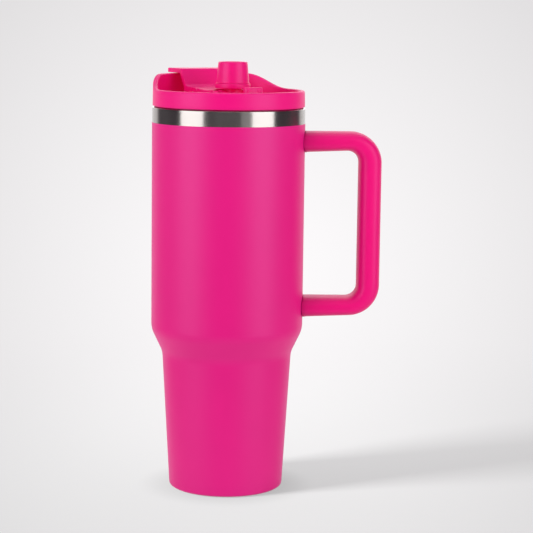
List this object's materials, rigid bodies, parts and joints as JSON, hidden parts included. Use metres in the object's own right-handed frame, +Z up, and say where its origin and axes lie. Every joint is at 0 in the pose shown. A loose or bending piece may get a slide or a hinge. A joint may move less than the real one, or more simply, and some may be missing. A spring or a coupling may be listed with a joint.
{
  "type": "insulated tumbler",
  "caption": "Double-walled steel tumbler with a stepped body, side carrying handle and press-in lid with folding straw spout and flip-up sip flap.",
  "frame": {"origin": "centre of the base, on the surface the cup stands on", "axes": "+Z up along the cup's axis, +X from the axis towards the handle"},
  "size_m": [0.15, 0.1062, 0.2809],
  "materials": {
    "powder_coat": "matte powder coat, magenta pink",
    "bare_steel": "brushed round the cup",
    "foil": "copper-coloured reflecting foil",
    "getter_metal": "sintered grey",
    "sealing_glass": "dark glass solder",
    "pad_rubber": "matte grey silicone",
    "handle_plastic": "soft-touch, magenta pink",
    "screw_steel": "plain steel",
    "lid_plastic": "satin moulded plastic, hot pink",
    "spout_plastic": "satin moulded plastic, hot pink",
    "silicone": "milky silicone",
    "straw_plastic": "translucent pink"
  },
  "bodies": {
    "cup": {"outer_shell": "powder_coat", "rim_band": "bare_steel", "inner_liner": "bare_steel", "foil_wrap": "foil", "getter": "getter_metal", "base_plate": "bare_steel", "seal_bead": "sealing_glass", "base_pad": "pad_rubber", "handle": "handle_plastic", "upper_bracket": "bare_steel", "lower_bracket": "bare_steel", "handle_screws": "screw_steel"},
    "lid": {"lid_ring": "lid_plastic", "lid_base": "lid_plastic", "lid_gasket": "silicone", "hinge_block": "lid_plastic", "spout_catch": "lid_plastic", "spout_pins": "screw_steel", "spout_seal": "silicone", "straw_connector": "silicone", "straw": "straw_plastic", "vent_valve": "silicone", "flap_pin": "screw_steel"},
    "sip_flap": {"sip_flap": "lid_plastic", "flap_plug": "silicone"},
    "spout": {"spout": "spout_plastic"}
  },
  "joints": [
    {"name": "lid_lift", "type": "slide", "parent": "cup", "child": "lid", "axis": [0, 0, 1], "range_m": [0, 0.27]},
    {"name": "flap_lift", "type": "hinge", "parent": "lid", "child": "sip_flap", "pos_m": [-0.0062, 0.01142, 0.2596], "axis": [0.8788, 0.4772, 0], "range_deg": [0, 65]},
    {"name": "spout_fold", "type": "hinge", "parent": "lid", "child": "spout", "pos_m": [0.00239, -0.00439, 0.2562], "axis": [0.8788, 0.4772, 0], "range_deg": [0, 90]}
  ]
}
